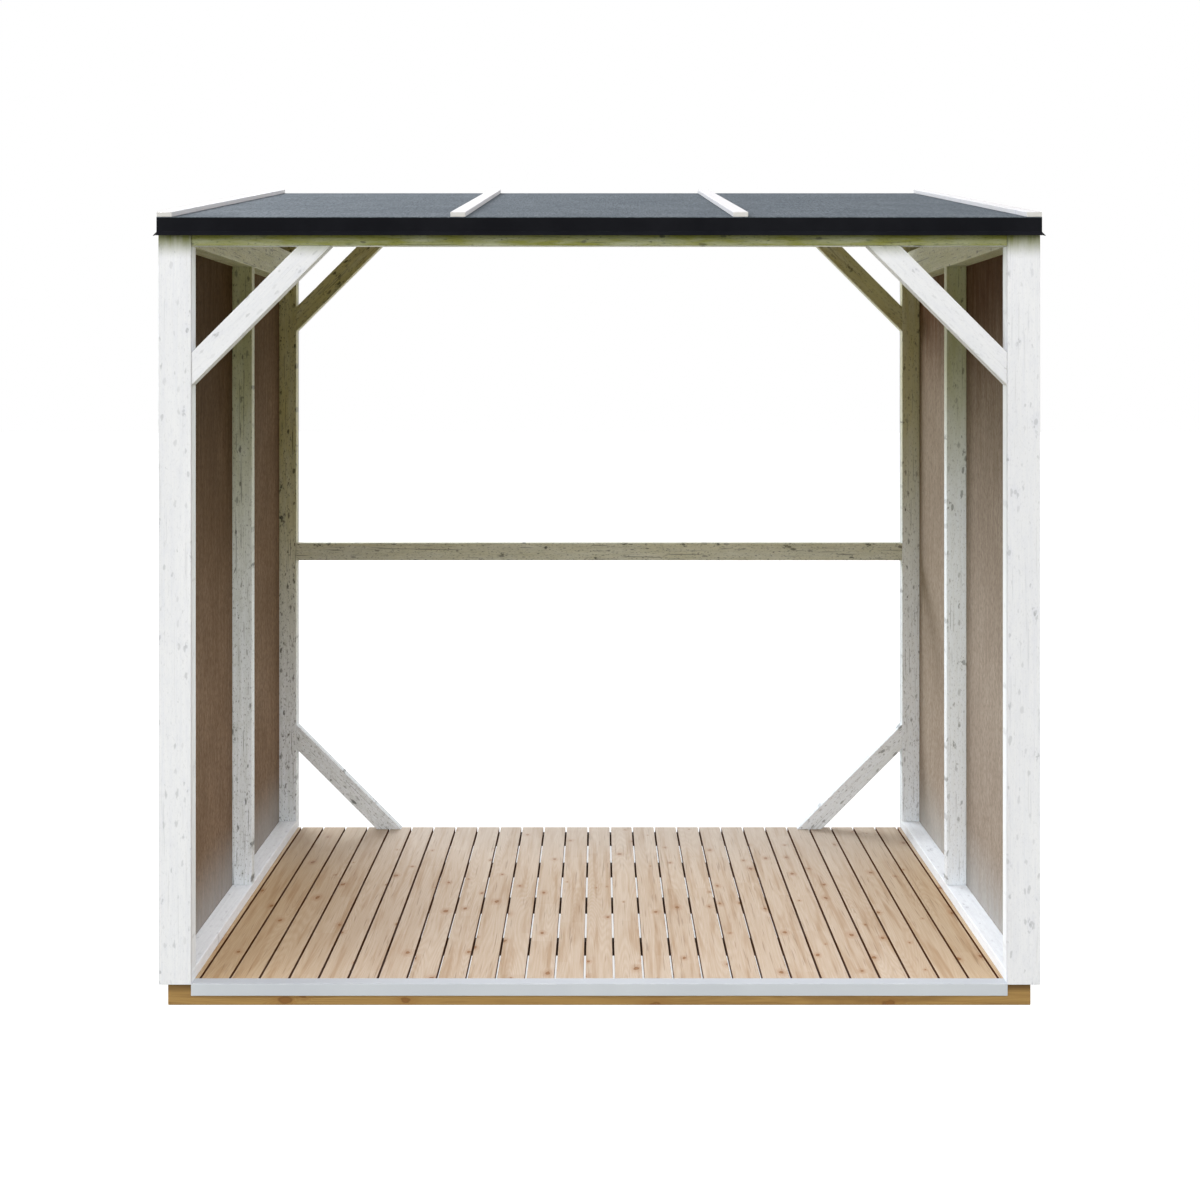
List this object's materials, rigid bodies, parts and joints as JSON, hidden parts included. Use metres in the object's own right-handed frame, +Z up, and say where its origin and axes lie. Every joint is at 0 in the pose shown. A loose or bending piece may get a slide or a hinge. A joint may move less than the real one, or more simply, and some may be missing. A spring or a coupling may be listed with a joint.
{
  "type": "log store",
  "caption": "Open-fronted timber log store with white framed side walls, knee braces, slatted pine deck and a mono-pitch felt roof rising to the rear",
  "frame": {"origin": "on the ground, under the middle of the overall box", "axes": "+Z up, +X to the right seen from the open low front, which faces -Y"},
  "size_m": [2.677, 1.831, 2.6603],
  "materials": {
    "white_paint": "matt white paint on planed softwood, knots showing faintly",
    "deck_pine": "bare planed pine with knots",
    "treated_timber": "brown pressure-treated softwood, sawn",
    "brown_board": "plain brown fibreboard, matt",
    "roofing_felt": "blue-grey mineral granules on bitumen felt",
    "black_metal": "satin black coated steel sheet",
    "pale_metal": "smooth pale grey aluminium angle"
  },
  "bodies": {
    "root": {"front_bearer": "treated_timber", "left_bearer": "treated_timber", "right_bearer": "treated_timber", "deck_joists": "treated_timber", "deck_boards": "deck_pine", "threshold_angle": "pale_metal", "left_bottom_plate": "white_paint", "right_bottom_plate": "white_paint", "left_front_stud": "white_paint", "right_front_stud": "white_paint", "left_mid_stud": "white_paint", "right_mid_stud": "white_paint", "left_rear_post": "white_paint", "right_rear_post": "white_paint", "left_wall_head": "white_paint", "right_wall_head": "white_paint", "left_sheathing": "brown_board", "right_sheathing": "brown_board", "left_cladding": "white_paint", "right_cladding": "white_paint", "left_front_corner_board": "white_paint", "right_front_corner_board": "white_paint", "left_rear_corner_board": "white_paint", "right_rear_corner_board": "white_paint", "front_beam": "white_paint", "front_left_brace": "white_paint", "front_right_brace": "white_paint", "rear_beam": "white_paint", "rear_rail": "white_paint", "rear_upper_left_brace": "white_paint", "rear_upper_right_brace": "white_paint", "rear_lower_left_brace": "white_paint", "rear_lower_right_brace": "white_paint", "rafters": "white_paint", "roof_boards": "deck_pine", "roof_felt": "roofing_felt", "left_edge_batten": "white_paint", "left_batten": "white_paint", "right_batten": "white_paint", "right_edge_batten": "white_paint", "front_drip_edge": "black_metal", "rear_drip_edge": "black_metal", "left_drip_edge": "black_metal", "right_drip_edge": "black_metal"}
  },
  "joints": []
}
